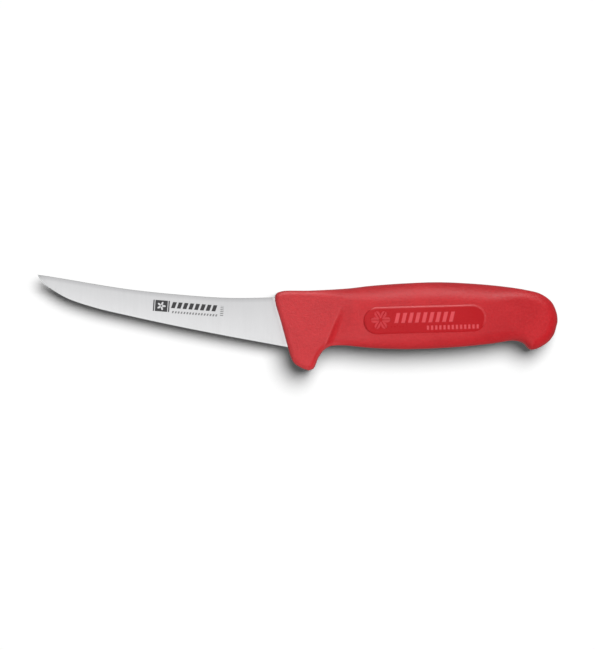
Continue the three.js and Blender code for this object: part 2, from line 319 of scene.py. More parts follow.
# The etched mark, in millimetres along and up from the middle of its row of bars. A row has its
# middle, half its size, the pitch of its bars and half the dark share of the pitch.
MARK_AT = (-40.15, 4.9)
MARK_TILT = math.radians(-4.4)
MARK_SOFT = 0.07
BAR_LEAN = 0.28
ETCHED_BARS = {"middle": (0, 0), "half": (11.5, 1.55), "pitch": 2.9, "dark": 0.33}
ETCHED_DASHES = {"middle": (0.4, -3.5), "half": (11.5, 0.55), "pitch": 1.45, "dark": 0.26}
ETCHED_STACK = {"middle": (14.0, -1.25), "half": (0.8, 2.6), "pitch": 0.95, "dark": 0.22}
DASH_STRENGTH = 0.7
BADGE_AT = (-16.4, -0.85)
BADGE_HALF = (4.1, 2.8)
PETALS = 5
PETAL_MIDDLE, PETAL_SWING = 1.45, 0.75  # the flower's outline swings about this radius
EYE_RADIUS = 0.45
SIDE_LINE_AT, SIDE_LINE_HALF = 3.3, 0.2


def etched_mark(tree):
    """The mark etched in the upper side of the steel: a dark badge with a light flower between two
    light lines, a row of slanting bars, a row of dashes under it and a stack of dashes at its end."""
    along, up = math.cos(MARK_TILT), math.sin(MARK_TILT)
    middle = [ORIGIN[0] + MARK_AT[0] * MM, ORIGIN[1] + MARK_AT[1] * MM, 0]
    local = add(tree, "VectorMath", {0: add(tree, "TexCoord")["Object"], 1: middle}, operation="SUBTRACT")[0]
    x = add(tree, "VectorMath", {0: local, 1: (along / MM, up / MM, 0)}, operation="DOT_PRODUCT")["Value"]
    y = add(tree, "VectorMath", {0: local, 1: (-up / MM, along / MM, 0)}, operation="DOT_PRODUCT")["Value"]

    def box(middle, half):
        wide = within(tree, x, middle[0], half[0], MARK_SOFT)
        high = within(tree, y, middle[1], half[1], MARK_SOFT)
        return calc(tree, "MULTIPLY", wide, high)

    def row(value, middle, half, pitch, dark):
        place = calc(tree, "FRACT", calc(tree, "DIVIDE", value, pitch))
        return calc(tree, "MULTIPLY", box(middle, half), within(tree, place, 0.5, dark, 0.03))

    leaning = calc(tree, "SUBTRACT", x, calc(tree, "MULTIPLY", y, BAR_LEAN))
    bars = row(leaning, **ETCHED_BARS)
    dashes = row(leaning, **ETCHED_DASHES)
    stack = row(y, **ETCHED_STACK)
    badge_x = calc(tree, "SUBTRACT", x, BADGE_AT[0])
    badge_y = calc(tree, "SUBTRACT", y, BADGE_AT[1])
    squares = [calc(tree, "MULTIPLY", value, value) for value in (badge_x, badge_y)]
    radius = calc(tree, "SQRT", calc(tree, "ADD", *squares))
    turn = calc(tree, "ARCTAN2", badge_y, badge_x)
    swing = calc(tree, "COSINE", calc(tree, "MULTIPLY", turn, PETALS))
    reach = calc(tree, "MULTIPLY_ADD", swing, PETAL_SWING, PETAL_MIDDLE)
    petal = spread(tree, calc(tree, "SUBTRACT", reach, radius), -MARK_SOFT, MARK_SOFT, 0.0, 1.0)
    eye = within(tree, radius, 0.0, EYE_RADIUS, MARK_SOFT)
    aside = calc(tree, "ABSOLUTE", badge_x)
    side_lines = within(tree, aside, SIDE_LINE_AT, SIDE_LINE_HALF, MARK_SOFT)
    light = calc(tree, "MAXIMUM", calc(tree, "SUBTRACT", petal, eye), side_lines)
    badge = calc(tree, "MULTIPLY", box(BADGE_AT, BADGE_HALF), calc(tree, "SUBTRACT", 1.0, light))
    faint = calc(tree, "MULTIPLY", calc(tree, "MAXIMUM", dashes, stack), DASH_STRENGTH)
    mark = calc(tree, "MAXIMUM", calc(tree, "MAXIMUM", bars, badge), faint)
    facing_up = add(tree, "SeparateXYZ", {0: add(tree, "NewGeometry")["Normal"]})[2]
    return calc(tree, "MULTIPLY", mark, spread(tree, facing_up, 0.0, 0.1, 0.0, 1.0))


SPINE_SHADE = (0.1, 2.4)  # the painted shade along the rounded spine fades over this depth below it
BEVEL_SHEEN = (BEVEL_WIDTH - 0.3, BEVEL_WIDTH + 0.1)  # the bevel's painted highlight fades over this height
FRONT_SHEEN = (0.3, 1.3)  # and so does a painted highlight on a strip of blade in front of the handle
FINE_LINES = (14.0, 0.22, 1.0)  # waves to the millimetre along and across the blade
BROAD_LINES = (0.9, 0.05, 1.0)
LINE_HEIGHT = 0.004  # millimetres
# Painted reflection: the steel's colour grows lighter from the spine side to the edge side.
UPPER_STEEL, LOWER_STEEL = colour(193, 193, 194), colour(207, 207, 208)
LINE_TONE = colour(180, 180, 181)
SPINE_PAINTED_SHADE = colour(166, 166, 167)
# Painted highlight on the cutting bevel; the same paler tone marks the scratches.
BEVEL_HIGHLIGHT_AND_SCRATCH_TONE = colour(214, 215, 216)
FRONT_STRIP_HIGHLIGHT = colour(236, 237, 238)
ETCHED_TONE = colour(62, 62, 63)


def blade_steel():
    """Belt-finished stainless steel: hair-fine lines across the blade vary its tone, roughness and height.
    Painted light: the tone grows lighter from the spine towards the edge as a painted reflection, the
    cutting bevel and a strip by the handle carry a painted highlight, and the spine a painted shade."""
    material = bpy.data.materials.new("belt_ground_steel")
    material.use_nodes = True
    tree = material.node_tree
    shader = tree.nodes["Principled BSDF"]
    place = add(tree, "Attribute", attribute_name="blade_mm")["Vector"]
    from_spine = add(tree, "SeparateXYZ", {0: place})[1]
    from_edge = add(tree, "SeparateXYZ", {0: place})[2]
    front_at = [ORIGIN[0], ORIGIN[1] + FRONT_TOP * MM, 0]

    away = (-math.cos(FRONT_LEAN) / MM, -math.sin(FRONT_LEAN) / MM, 0)
    at = add(tree, "TexCoord")["Object"]
    local = add(tree, "VectorMath", {0: at, 1: front_at}, operation="SUBTRACT")[0]
    ahead = add(tree, "VectorMath", {0: local, 1: away}, operation="DOT_PRODUCT")["Value"]

    fine = add(tree, "TexNoise", {
        "Vector": add(tree, "Mapping", {"Vector": place, "Scale": FINE_LINES})[0],
        "Scale": 1.0, "Detail": 3.0, "Roughness": 0.6,
    }, noise_dimensions="2D")[0]
    broad = add(tree, "TexNoise", {
        "Vector": add(tree, "Mapping", {"Vector": place, "Scale": BROAD_LINES})[0],
        "Scale": 1.0, "Detail": 2.0,
    }, noise_dimensions="2D")[0]
    lines = calc(tree, "ADD", calc(tree, "MULTIPLY", fine, 0.7), calc(tree, "MULTIPLY", broad, 0.3))

    marks = tree.nodes.new("ShaderNodeGroup")
    marks.node_tree = handling_marks
    tree.links.new(at, marks.inputs["Vector"])
    marks.inputs["Hairlines"].default_value = 0.5

    height = calc(tree, "ADD", from_spine, from_edge)
    share = calc(tree, "DIVIDE", from_spine, calc(tree, "MAXIMUM", height, 0.001))
    # Painted reflection: the tone grows lighter from the spine towards the edge.
    steel = blend(tree, spread(tree, share, 0.05, 0.9, 0, 1), UPPER_STEEL, LOWER_STEEL)
    tone = calc(tree, "MULTIPLY", spread(tree, lines, 0.3, 0.7, 0, 1), 0.16)
    steel = blend(tree, tone, steel, LINE_TONE)
    # Painted shade along the rounded spine.
    steel = blend(tree, spread(tree, from_spine, *SPINE_SHADE, 0.75, 0.0), steel, SPINE_PAINTED_SHADE)
    # Painted highlight on the cutting bevel.
    steel = blend(tree, spread(tree, from_edge, *BEVEL_SHEEN, 0.8, 0.0), steel, BEVEL_HIGHLIGHT_AND_SCRATCH_TONE)
    # Painted highlight on a strip of the blade in front of the handle.
    steel = blend(tree, spread(tree, ahead, *FRONT_SHEEN, 0.65, 0.0), steel, FRONT_STRIP_HIGHLIGHT)
    steel = blend(tree, calc(tree, "MULTIPLY", marks.outputs["Hairline"], 0.3), steel, BEVEL_HIGHLIGHT_AND_SCRATCH_TONE)
    etched = etched_mark(tree)
    steel = blend(tree, etched, steel, ETCHED_TONE)
    tree.links.new(steel, shader.inputs["Base Color"])

    rough = spread(tree, lines, 0.3, 0.7, 0.3, 0.38)
    rough = calc(tree, "ADD", rough, calc(tree, "MULTIPLY", marks.outputs["Smudge"], 0.04))
    rough = calc(tree, "ADD", rough, calc(tree, "MULTIPLY", etched, 0.3))
    tree.links.new(rough, shader.inputs["Roughness"])
    metal = calc(tree, "SUBTRACT", 1.0, calc(tree, "MULTIPLY", etched, 0.6))
    tree.links.new(metal, shader.inputs["Metallic"])
    surface = calc(tree, "SUBTRACT", fine, calc(tree, "MULTIPLY", etched, 1.5))
    bump = add(tree, "Bump", {"Height": surface, "Strength": 0.25, "Distance": LINE_HEIGHT * MM})["Normal"]
    tree.links.new(bump, shader.inputs["Normal"])
    return material


blade.data.materials.append(blade_steel())
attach(blade, "root")
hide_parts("blade")

# ----------------------------------------------------------------------------------------------
# Handle. One moulding of red polypropylene, shot round the tang in a two-part mould with a fine
# spark-eroded texture. A flat-sided guard ends below in a horn and behind in a leaning ridge;
# the sides are scooped behind it for the first finger, then swell into the grip and its beak.
# ----------------------------------------------------------------------------------------------

BACK_HEIGHT = 17.1
BELLY_DEPTH = 16.3
NECK_DEPTH = 14.4
GUARD_TOP = 12.9
BACK_STEP = 1.1  # the back starts this much higher than the guard
HORN_X = 17.0
FRONT_FOOT = -15.0
BEAK_DEPTH = 16.5
BUTT_LENGTH = 18.0
BUTT_Y = -3.0
RIDGE_FOOT = (24.1, -17.2)
RIDGE_LEAN = math.radians(22.4)
RIDGE_TOP = 6.5  # the scoop runs out at this height
PANEL_RISE = 0.4  # how far the side panels stand out of the grip
GUARD_HALF = (handle_high.z - handle_low.z) / 2 / MM
GRIP_HALF = GUARD_HALF - PANEL_RISE
HOLLOW_DEPTH = 1.9  # depth of the scoop behind the ridge
HOLLOW_WALL = 3.6  # from the ridge to the scoop's deepest line
HOLLOW_REACH = 24.0  # from there to where it has run out
GUARD_EDGE = 2.5  # rounding of each stretch of the outline
BACK_EDGE = 10.0
BELLY_EDGE = 4.5
BUTT_EDGE = 5.0
BACK_EDGE_GROWS = (15.0, 55.0)  # x where the rounding starts and ends its change
BELLY_EDGE_GROWS = (24.0, 45.0)
BUTT_EDGE_SHRINKS = (36.0, 14.0)  # before the butt's end
MOST_EDGE = 0.45  # a rounding takes at most this share of the way across
PARTING_FLAT = 0.6  # upright wall left along the parting line
PARTING_FLASH = 0.05  # how far the seam of the mould stands out
SEAM_ROWS = np.array([0.16, 0.05, -0.05, -0.16])  # heights of the seam's points
FLASH_ROWS = np.array([0.0, 1.0, 1.0, 0.0])  # share of the flash at each
FLASH_FULL = 4.0  # where the handle is narrower than this, the flash shrinks
EDGE_BAND_INSET, EDGE_BAND_SPREAD = 0.7, 0.8  # a band of painted highlight, also polished a little smoother, along the guard's edges
RIDGE_INSET, RIDGE_SPREAD = 0.4, 0.45  # and one along the ridge, short of the outline
RIDGE_FADE = 8.0  # the ridge's painted highlight grows from its top over this height


def front(y):
    """The point of the leaning front at a height."""
    return (FRONT_TOP - y) * math.tan(FRONT_LEAN), y


def horn_front(x, down):
    """A point of the horn's front, down being the share from the front's foot to the tip."""
    return x, mix(FRONT_FOOT, -GUARD_DEPTH, down)


def horn_rear(x, down):
    """A point of the horn's rear, down being the share from the ridge's foot to the tip."""
    return x, mix(RIDGE_FOOT[1], -GUARD_DEPTH, down)


back_at_ridge = (
    RIDGE_FOOT[0] + (GUARD_TOP + BACK_STEP - RIDGE_FOOT[1]) * math.tan(RIDGE_LEAN),
    GUARD_TOP + BACK_STEP,
)


def back(along, share):
    """A point of the back: shares of the way from ridge to butt and of the back's height."""
    return mix(back_at_ridge[0], HANDLE_LENGTH - BUTT_LENGTH, along), share * BACK_HEIGHT


def belly(along, share):
    """A point of the belly, given in the same way."""
    return mix(back_at_ridge[0], HANDLE_LENGTH - BUTT_LENGTH, along), -share * BELLY_DEPTH


def butt(inset, share):
    """A point of the butt's upper half: millimetres before its end and share of the height."""
    return HANDLE_LENGTH - inset, share * BACK_HEIGHT


def beak(inset, share):
    """A point of the beak below it, given in the same way."""
    return HANDLE_LENGTH - inset, -share * BEAK_DEPTH


# The outline, from the tip of the horn to the middle of the butt: a point of the outer line
# (front of the guard, back, butt) and the one across from it on the inner line (rear of the
# horn, neck, belly, beak).
OUTLINE = (
    ((HORN_X, -GUARD_DEPTH), (HORN_X, -GUARD_DEPTH)),
    (horn_front(13.6, 0.9), horn_rear(19.4, 0.91)),
    (horn_front(9.7, 0.68), horn_rear(20.5, 0.72)),
    (horn_front(8, 0.4), horn_rear(21.5, 0.44)),
    (front(FRONT_FOOT), horn_rear(22.6, 0.23)),
    (front(-3), horn_rear(23.2, 0.13)),
    (front(8.2), horn_rear(23.6, 0.07)),
    ((0.8, GUARD_TOP - 1.7), horn_rear(23.8, 0.045)),
    ((3.4, GUARD_TOP - 0.4), horn_rear(23.9, 0.03)),
    ((18, GUARD_TOP), horn_rear(24, 0.015)),
    (back_at_ridge, RIDGE_FOOT),
    (back(0.11, 0.885), (27.6, -NECK_DEPTH - 0.5)),
    (back(0.2, 0.925), (34, -NECK_DEPTH)),
    (back(0.34, 0.97), belly(0.13, 0.963)),
    (back(0.52, 1), belly(0.34, 1)),
    (back(0.71, 0.96), belly(0.62, 0.94)),
    (back(0.88, 0.885), belly(0.83, 0.83)),
    (butt(16.2, 0.78), beak(21.7, 0.73)),
    (butt(8.2, 0.655), beak(17, 0.8)),
    (butt(2.9, 0.42), beak(13.1, 1)),
    (butt(0.5, 0.12), beak(6.4, 0.85)),
    (butt(0, -0.05), beak(2.1, 0.575)),
    ((HANDLE_LENGTH, BUTT_Y), (HANDLE_LENGTH, BUTT_Y)),
)
RUNGS_PER_STATION = 18
EDGE_ROWS = 20
SIDE_ROWS = 42


def behind_ridge(x, y):
    """Distance behind the ridge, the leaning rear edge of the guard's flat side."""
    return (x - RIDGE_FOOT[0]) * math.cos(RIDGE_LEAN) - (y - RIDGE_FOOT[1]) * math.sin(RIDGE_LEAN)


def side_height(x, y):
    """Half the thickness at the flat side: the guard's up to the ridge, then a scoop that starts
    as a quarter parabola, deepest at the belly, and runs out into the grip's."""
    behind = np.maximum(behind_ridge(x, y), 0)
    wall = np.minimum(1, behind / HOLLOW_WALL)
    scoop = (1 - (1 - wall) ** 2) * (1 - ease(behind, HOLLOW_WALL, HOLLOW_WALL + HOLLOW_REACH))
    depth = HOLLOW_DEPTH * ease(RIDGE_TOP - y, 0, RIDGE_TOP + NECK_DEPTH)
    return mix(GUARD_HALF, GRIP_HALF, ease(behind, 0, HOLLOW_REACH)) - depth * scoop


def towards_belly(y):
    """0 at the guard's top and 1 at the neck."""
    return (GUARD_TOP - y) / (GUARD_TOP + NECK_DEPTH)


def towards_grip(x, y):
    """0 on the guard and 1 on the grip, further along the back than along the belly."""
    start = mix(BACK_EDGE_GROWS[0], BELLY_EDGE_GROWS[0], towards_belly(y))
    end = mix(BACK_EDGE_GROWS[1], BELLY_EDGE_GROWS[1], towards_belly(y))
    return ease(x, start, end)


def edge_radius(x, y):
    """How far the rounding of the edges reaches in from the outline."""
    grip = mix(BACK_EDGE, BELLY_EDGE, np.clip(towards_belly(y), 0, 1))
    grip = mix(GUARD_EDGE, grip, towards_grip(x, y))
    start, end = (HANDLE_LENGTH - inset for inset in BUTT_EDGE_SHRINKS)
    return mix(grip, BUTT_EDGE, ease(x, start, end))


def distance_to(line, x, y):
    """Distance from each point to the nearest stretch of a closed line, a few rows at a time."""
    start, run = line, np.roll(line, -1, axis=0) - line
    length = np.maximum((run**2).sum(1), 1e-12)
    nearest = np.empty(x.size)
    for rows in np.array_split(np.arange(x.size), max(1, x.size // 4000)):
        dx = x.ravel()[rows, None] - start[:, 0]
        dy = y.ravel()[rows, None] - start[:, 1]
        t = np.clip((dx * run[:, 0] + dy * run[:, 1]) / length, 0, 1)
        nearest[rows] = np.sqrt(((dx - t * run[:, 0]) ** 2 + (dy - t * run[:, 1]) ** 2).min(1))
    return nearest.reshape(x.shape)


def handle_rings():
    """Rings round the handle, one for each rung between the outer and the inner outline.

    Across a rung the points crowd towards both ends as 1 - cos. Height follows from the distance
    d inside the outline: an upright wall, then an ellipse wall + (side - wall) * sqrt(1 - (1 -
    d/r)^2) up to the flat side. The lower half mirrors the upper one, and a fine flash stands
    out along the seam between them.
    """
    at = np.linspace(0, 1, (len(OUTLINE) - 1) * RUNGS_PER_STATION + 1)
    outer = smooth_line([pair[0] for pair in OUTLINE], at)
    inner = smooth_line([pair[1] for pair in OUTLINE], at)
    length = np.linalg.norm(inner - outer, axis=1)[:, None]
    outer_edge = np.minimum(MOST_EDGE * length, edge_radius(outer[:, :1], outer[:, 1:]))
    inner_edge = np.minimum(MOST_EDGE * length, edge_radius(inner[:, :1], inner[:, 1:]))
    crowd = 1 - np.cos(np.linspace(0, math.pi / 2, EDGE_ROWS + 1))
    middle = np.linspace(0, 1, SIDE_ROWS + 1)[1:-1]
    place = np.hstack([
        outer_edge * crowd,
        mix(outer_edge, length - inner_edge, middle),
        length - inner_edge * crowd[::-1],
    ])
    share = place / np.maximum(length, 1e-9)
    points = mix(outer[:, None, :], inner[:, None, :], share[..., None])
    x, y = points[..., 0], points[..., 1]
    outline = np.concatenate([outer, inner[::-1]])
    inward = distance_to(outline, x, y)
    inward[:, [0, -1]] = 0
    reach = np.clip(inward / edge_radius(x, y), 0, 1)
    wall = np.maximum(PARTING_FLAT / 2, GUARD_HALF - edge_radius(x, y))
    rise = wall + (side_height(x, y) - wall) * np.sqrt(1 - (1 - reach) ** 2)
    upper = np.dstack([x, y, rise])

    outward = (outer - inner) / np.maximum(length, 1e-9)
    flash = FLASH_ROWS * PARTING_FLASH * np.minimum(1, length / FLASH_FULL)
    out = outward[:, None, :] * flash[..., None]
    seam = np.broadcast_to(SEAM_ROWS, flash.shape)
    outer_seam = np.dstack([outer[:, None, :] + out, seam])
    inner_seam = np.dstack([inner[:, None, :] - out, seam])
    lower = upper * np.array([1, 1, -1])
    rings = np.concatenate([upper, inner_seam, lower[:, ::-1], outer_seam[:, ::-1]], axis=1)

    # A painted highlight band along the guard's edges and the ridge, where the plastic is also a little
    # smoother.
    on_guard = 1 - towards_grip(x, y)
    highlight_and_polish = on_guard * np.exp(-(((inward - EDGE_BAND_INSET) / EDGE_BAND_SPREAD) ** 2))
    on_ridge = np.exp(-((behind_ridge(x, y) / RIDGE_SPREAD) ** 2)) * (inward > RIDGE_INSET)
    highlight_and_polish = np.maximum(highlight_and_polish, on_ridge * ease(RIDGE_TOP - y, 0, RIDGE_FADE))
    guard_sheen_and_polish = np.dstack([highlight_and_polish, np.zeros_like(highlight_and_polish), np.zeros_like(highlight_and_polish)])
    none = np.zeros((len(at), len(SEAM_ROWS), 3))
    return rings, np.concatenate([guard_sheen_and_polish, none, guard_sheen_and_polish[:, ::-1], none], axis=1)


rings, guard_sheen_and_polish = handle_rings()
handle = skin("moulded_handle", rings, caps=(), attributes={"guard_sheen_and_polish": guard_sheen_and_polish})


def grain_group():
    """The mould's spark-eroded texture: tiny rounded bumps from a cell pattern over fine noise,
    with a slow change of tone where the plastic flowed."""
    tree, given, put = group("moulded_grain", ["Vector", "Size"], ["Height", "Tone"])
    scale = calc(tree, "DIVIDE", 1.0, given["Size"])
    cells = add(tree, "TexVoronoi", {"Vector": given["Vector"], "Scale": scale}, feature="SMOOTH_F1")
    fine = add(tree, "TexNoise", {
        "Vector": given["Vector"], "Scale": calc(tree, "MULTIPLY", scale, 1.7), "Detail": 2.0,
    })[0]
    height = calc(tree, "ADD", calc(tree, "MULTIPLY", cells["Distance"], -0.6), fine)
    tree.links.new(height, put["Height"])
    flow = add(tree, "TexNoise", {
        "Vector": given["Vector"], "Scale": 55.0, "Detail": 3.0, "Roughness": 0.6, "Distortion": 0.6,
    })[0]
    speck = add(tree, "TexNoise", {
        "Vector": given["Vector"], "Scale": calc(tree, "MULTIPLY", scale, 0.6), "Detail": 1.0,
    })[0]
    tone = calc(tree, "ADD", calc(tree, "MULTIPLY", flow, 0.6), calc(tree, "MULTIPLY", speck, 0.4))
    tree.links.new(spread(tree, tone, 0.35, 0.65, 0.0, 1.0), put["Tone"])
    return tree


moulded_grain = grain_group()


GRIP_PLASTIC = {
    "size": 0.8,
    "depth": 0.13,
    "shades": (colour(174, 21, 29), colour(188, 30, 37)),
    "roughness": (0.42, 0.5),
    "specular": 0.42,
}
PAINTED_HIGHLIGHT_RED = colour(206, 78, 80)
SCRATCHED_RED = colour(208, 92, 94)


def red_plastic(name, size, depth, shades, roughness, specular):
    """Red polypropylene with the mould's grain: size and depth of the grain in millimetres, the
    darkest and lightest shade, the smoothest and dullest roughness and the strength of the
    mirrored light. The tone and roughness aren't joined to the shader yet: they are returned."""
    material = bpy.data.materials.new(name)
    material.use_nodes = True
    tree = material.node_tree
    shader = tree.nodes["Principled BSDF"]
    shader.inputs["Specular IOR Level"].default_value = specular
    at = add(tree, "TexCoord")["Object"]
    grain = tree.nodes.new("ShaderNodeGroup")
    grain.node_tree = moulded_grain
    tree.links.new(at, grain.inputs["Vector"])
    grain.inputs["Size"].default_value = size * MM
    marks = tree.nodes.new("ShaderNodeGroup")
    marks.node_tree = handling_marks
    tree.links.new(at, marks.inputs["Vector"])
    marks.inputs["Hairlines"].default_value = 0.25
    shade = blend(tree, grain.outputs["Tone"], shades[0], shades[1])
    rough = spread(tree, grain.outputs["Tone"], 0, 1, roughness[0], roughness[1])
    rough = calc(tree, "ADD", rough, calc(tree, "MULTIPLY", marks.outputs["Smudge"], -0.04))
    bump = add(tree, "Bump", {
        "Height": grain.outputs["Height"], "Strength": 1.0, "Distance": depth * MM,
    })["Normal"]
    tree.links.new(bump, shader.inputs["Normal"])
    return material, tree, shader, shade, rough, marks.outputs["Hairline"]


def grip_plastic():
    """The handle's plastic, with a painted highlight in lighter red along the guard's edges and its ridge,
    where the surface is also polished a little smoother.
    """
    made = red_plastic("grained_red_plastic", **GRIP_PLASTIC)
    material, tree, shader, shade, rough, hairline = made
    highlight_and_polish = add(tree, "SeparateXYZ", {0: add(tree, "Attribute", attribute_name="guard_sheen_and_polish")["Vector"]})[0]
    highlight_and_polish = calc(tree, "MULTIPLY", highlight_and_polish, 0.35)
    # Painted highlight: lighter red along the guard's edges and ridge; the same band is a little less rough.
    shade = blend(tree, highlight_and_polish, shade, PAINTED_HIGHLIGHT_RED)
    shade = blend(tree, calc(tree, "MULTIPLY", hairline, 0.4), shade, SCRATCHED_RED)
    tree.links.new(shade, shader.inputs["Base Color"])
    rough = calc(tree, "SUBTRACT", rough, calc(tree, "MULTIPLY", highlight_and_polish, 0.25))
    tree.links.new(rough, shader.inputs["Roughness"])
    return material


handle.data.materials.append(grip_plastic())
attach(handle, "root")
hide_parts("handle")

# ----------------------------------------------------------------------------------------------
# Side panels. Part of the same moulding: a smooth, glossier field with round ends stands a little
# out of each side of the grip, level with the guard, so that the knife lies flat on it. A plain
# pattern is sunk into it: a rosette, a row of slanting bars and a row of small bars.
# ----------------------------------------------------------------------------------------------

PANEL_HALF_LENGTH = 30.8
PANEL_HALF_WIDTH = 7.1
PANEL_AT = (75.0, -1.4)
PANEL_TILT = math.radians(1.5)
PANEL_EDGE = 1.2  # rounding of the panel's rim
PANEL_SKIRT = 1.2  # how far its side reaches down into the grip
RIM_HIGHLIGHT_SIDE = (0.75, 0.66)  # the rim gets a painted highlight and a coat on the side that faces this way, towards the light
SUNK = 0.22  # depth of the pattern
SUNK_EDGE = 0.16  # width of the slope at its sides
BAR_TONE = 1.0  # how much paler the sunk ground is
ROSETTE_TONE = 0.5
END_ROWS, STRAIGHT_ROWS, RIM_ROWS, FIELD_ROWS = 40, 330, 12, 96

ROSETTE_AT = (-22.1, 0.3)
ROSETTE_RADIUS = 4.9
EYE_EDGE, VEIN_HALF = 0.9, 0.22  # the petals stop before an eye and between veins
BARS = {"middle": (-0.2, 1.0), "half": (14.8, 2.5), "pitch": 3.4, "width": 1.9, "lean": 0.26}
SMALL_BARS = {"middle": (13.7, -4.2), "half": (13.4, 1.05), "pitch": 2.06, "width": 1.15, "lean": 0.0}


def bar_row(x, y, middle, half, pitch, width, lean):
    """How deep a point lies inside the nearest bar of a row: the least of its distances to the
    bar's four sides, negative outside."""
    along = x - middle[0] - lean * (y - middle[1])
    in_bar = width / 2 - np.abs((along + pitch / 2) % pitch - pitch / 2)
    in_row = np.minimum(half[0] - np.abs(along), half[1] - np.abs(y - middle[1]))
    return np.minimum(in_bar, in_row)


def rosette(x, y):
    """How deep a point lies inside six petals round a small eye: the petals' outline is the
    radius times 0.3 + 0.7 sqrt |cos 3a|, taken at each angle a. It slants, so its distance is
    about 0.6 of the one measured along the radius."""
    dx, dy = x - ROSETTE_AT[0], y - ROSETTE_AT[1]
    radius, angle = np.hypot(dx, dy), np.arctan2(dy, dx)
    outline = ROSETTE_RADIUS * (0.3 + 0.7 * np.sqrt(np.abs(np.cos(3 * angle))))
    in_petal = 0.6 * (outline - radius)
    turned = angle % (math.pi / 3)
    vein = radius * np.minimum(np.abs(np.sin(turned)), np.abs(np.sin(turned - math.pi / 3)))
    return np.minimum(np.minimum(in_petal, radius - EYE_EDGE), vein - VEIN_HALF)


def panel_rings():
    """Rings across the panel, from one round end to the other, over the top side and back
    underneath. With d the distance inside the rim, the top falls away as a quarter circle of the
    rim's rounding, and the pattern sinks it by an S curve of its own depth inside each shape."""
    straight = PANEL_HALF_LENGTH - PANEL_HALF_WIDTH
    bend = 1 - np.cos(np.linspace(0, math.pi / 2, END_ROWS))
    x = np.concatenate([
        -PANEL_HALF_LENGTH + PANEL_HALF_WIDTH * bend,
        np.linspace(-straight, straight, STRAIGHT_ROWS)[1:-1],
        (PANEL_HALF_LENGTH - PANEL_HALF_WIDTH * bend)[::-1],
    ])[:, None]
    past = np.sign(x) * np.maximum(np.abs(x) - straight, 0)
    width = np.sqrt(np.maximum(PANEL_HALF_WIDTH**2 - past**2, 0))
    rim = 1 - np.cos(np.linspace(0, math.pi / 2, RIM_ROWS))
    rim = rim * PANEL_EDGE / PANEL_HALF_WIDTH
    field = np.linspace(rim[-1] - 1, 1 - rim[-1], FIELD_ROWS)[1:-1]
    y = width * np.concatenate([rim - 1, field, (1 - rim)[::-1]])
    x = np.broadcast_to(x, y.shape)
    inward = PANEL_HALF_WIDTH - np.hypot(past, y)
    inward[:, [0, -1]] = 0
    rounded = PANEL_EDGE * (1 - np.sqrt(1 - (1 - np.clip(inward / PANEL_EDGE, 0, 1)) ** 2))
    bars = np.maximum(bar_row(x, y, **BARS), bar_row(x, y, **SMALL_BARS))
    rosette_in = rosette(x, y)
    inside = np.maximum(bars, rosette_in)
    sunk = ease(inside, -SUNK_EDGE / 2, SUNK_EDGE / 2)
    paler = np.where(bars > rosette_in, BAR_TONE, ROSETTE_TONE) * sunk
    z = GUARD_HALF - rounded - SUNK * sunk
    cos, sin = math.cos(PANEL_TILT), math.sin(PANEL_TILT)
    placed = np.dstack([PANEL_AT[0] + cos * x - sin * y, PANEL_AT[1] + sin * x + cos * y, z])
    foot = placed[:, [-1, 0]].copy()
    foot[..., 2] = GUARD_HALF - PANEL_SKIRT
    rings = np.concatenate([placed, foot], axis=1)
    # A painted highlight on the rim, on the side that faces the light.
    facing = (RIM_HIGHLIGHT_SIDE[0] * past + RIM_HIGHLIGHT_SIDE[1] * y) / np.maximum(np.hypot(past, y), 1e-9)
    rim_highlight = ease(facing, 0, 0.6) * (1 - ease(inward, 0.8 * PANEL_EDGE, 1.3 * PANEL_EDGE))
    mask = np.dstack([paler, rim_highlight, np.zeros_like(sunk)])
    return rings, np.concatenate([mask, np.zeros((len(x), 2, 3))], axis=1)


def mix_value(tree, share, a, b):
    """Number a at share 0 and b at share 1."""
    return add(tree, "Mix", {"Factor": share, "A": a, "B": b}, data_type="FLOAT")["Result"]


PANEL_PLASTIC = {
    "size": 0.5,
    "depth": 0.006,
    "shades": (colour(172, 26, 32), colour(177, 30, 36)),
    "roughness": (0.3, 0.36),
    "specular": 0.12,
}
SCRATCHED_PANEL = colour(200, 70, 74)
RIM_HIGHLIGHT_RED = colour(214, 84, 88)
SUNK_RED = colour(212, 78, 84)


def panel_plastic():
    """The panel's plastic: nearly smooth and glossier than the grained grip, with a paler, duller
    ground in the sunk pattern, and a painted highlight and a coat on the side of the rim that faces the
    light."""
    made = red_plastic("smooth_red_plastic", **PANEL_PLASTIC)
    material, tree, shader, shade, rough, hairline = made
    both = add(tree, "Attribute", attribute_name="sunk_and_rim_highlight")["Vector"]
    sunk, rim_highlight = list(add(tree, "SeparateXYZ", {0: both}))[:2]
    tree.links.new(calc(tree, "MULTIPLY", rim_highlight, 0.5), shader.inputs["Coat Weight"])
    shader.inputs["Coat Roughness"].default_value = 0.25
    shade = blend(tree, calc(tree, "MULTIPLY", hairline, 0.5), shade, SCRATCHED_PANEL)
    # Painted highlight on the side of the rim that faces the light.
    shade = blend(tree, calc(tree, "MULTIPLY", rim_highlight, 0.35), shade, RIM_HIGHLIGHT_RED)
    shade = blend(tree, sunk, shade, SUNK_RED)
    tree.links.new(shade, shader.inputs["Base Color"])
    tree.links.new(mix_value(tree, sunk, rough, 0.6), shader.inputs["Roughness"])
    return material


rings, masks = panel_rings()
panel_finish = panel_plastic()
panels = []
for name, side in (("side_panel_upper", 1), ("side_panel_lower", -1)):
    panel = skin(name, rings * np.array([1, 1, side]), caps=(), attributes={"sunk_and_rim_highlight": masks})
    panel.data.materials.append(panel_finish)
    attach(panel, "root")
    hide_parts("handle")
    panels.append(panel)

